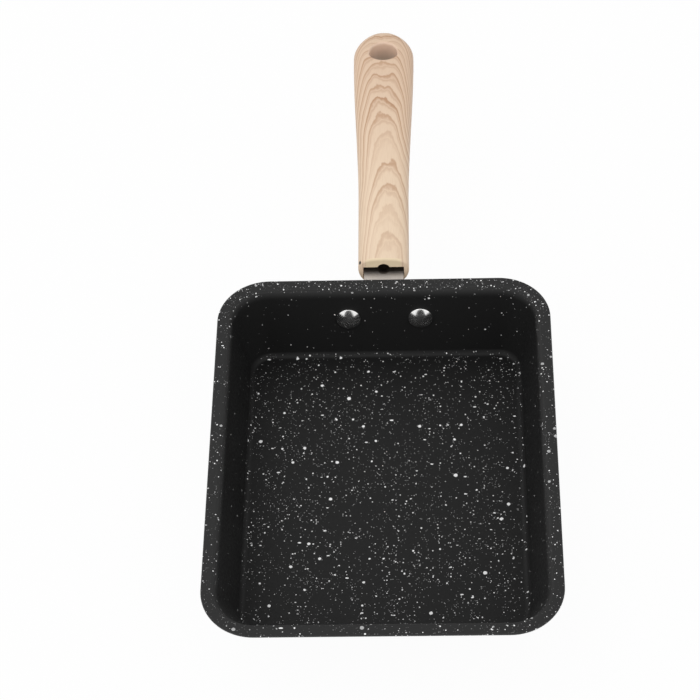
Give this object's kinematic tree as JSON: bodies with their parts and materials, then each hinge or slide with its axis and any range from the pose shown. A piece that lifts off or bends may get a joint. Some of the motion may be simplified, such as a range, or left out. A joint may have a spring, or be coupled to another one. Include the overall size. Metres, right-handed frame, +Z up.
{
  "type": "omelette pan",
  "caption": "Rectangular non-stick omelette pan with a flared lip and leaning walls, the front one leaning furthest, and a riveted bracket carrying an arched wood-look handle with a hanging hole.",
  "frame": {"origin": "under the middle of the pan's rim, on the surface that it stands on", "axes": "+Y from the pan towards the handle, +Z up, +X across the pan"},
  "size_m": [0.15, 0.3306, 0.0635],
  "materials": {
    "nonstick_coat": "aluminium with a matte black non-stick coat and white speckle",
    "rivet_metal": "polished",
    "bracket_steel": "satin",
    "wood_print": "moulded phenolic with a satin wood-grain print",
    "fastener_zinc": "zinc plated"
  },
  "bodies": {
    "root": {"pan_body": "nonstick_coat", "rivet_left": "rivet_metal", "rivet_right": "rivet_metal", "handle_bracket": "bracket_steel", "handle": "wood_print", "handle_screw": "fastener_zinc", "spring_washer": "fastener_zinc", "weld_nut": "fastener_zinc"}
  },
  "joints": []
}
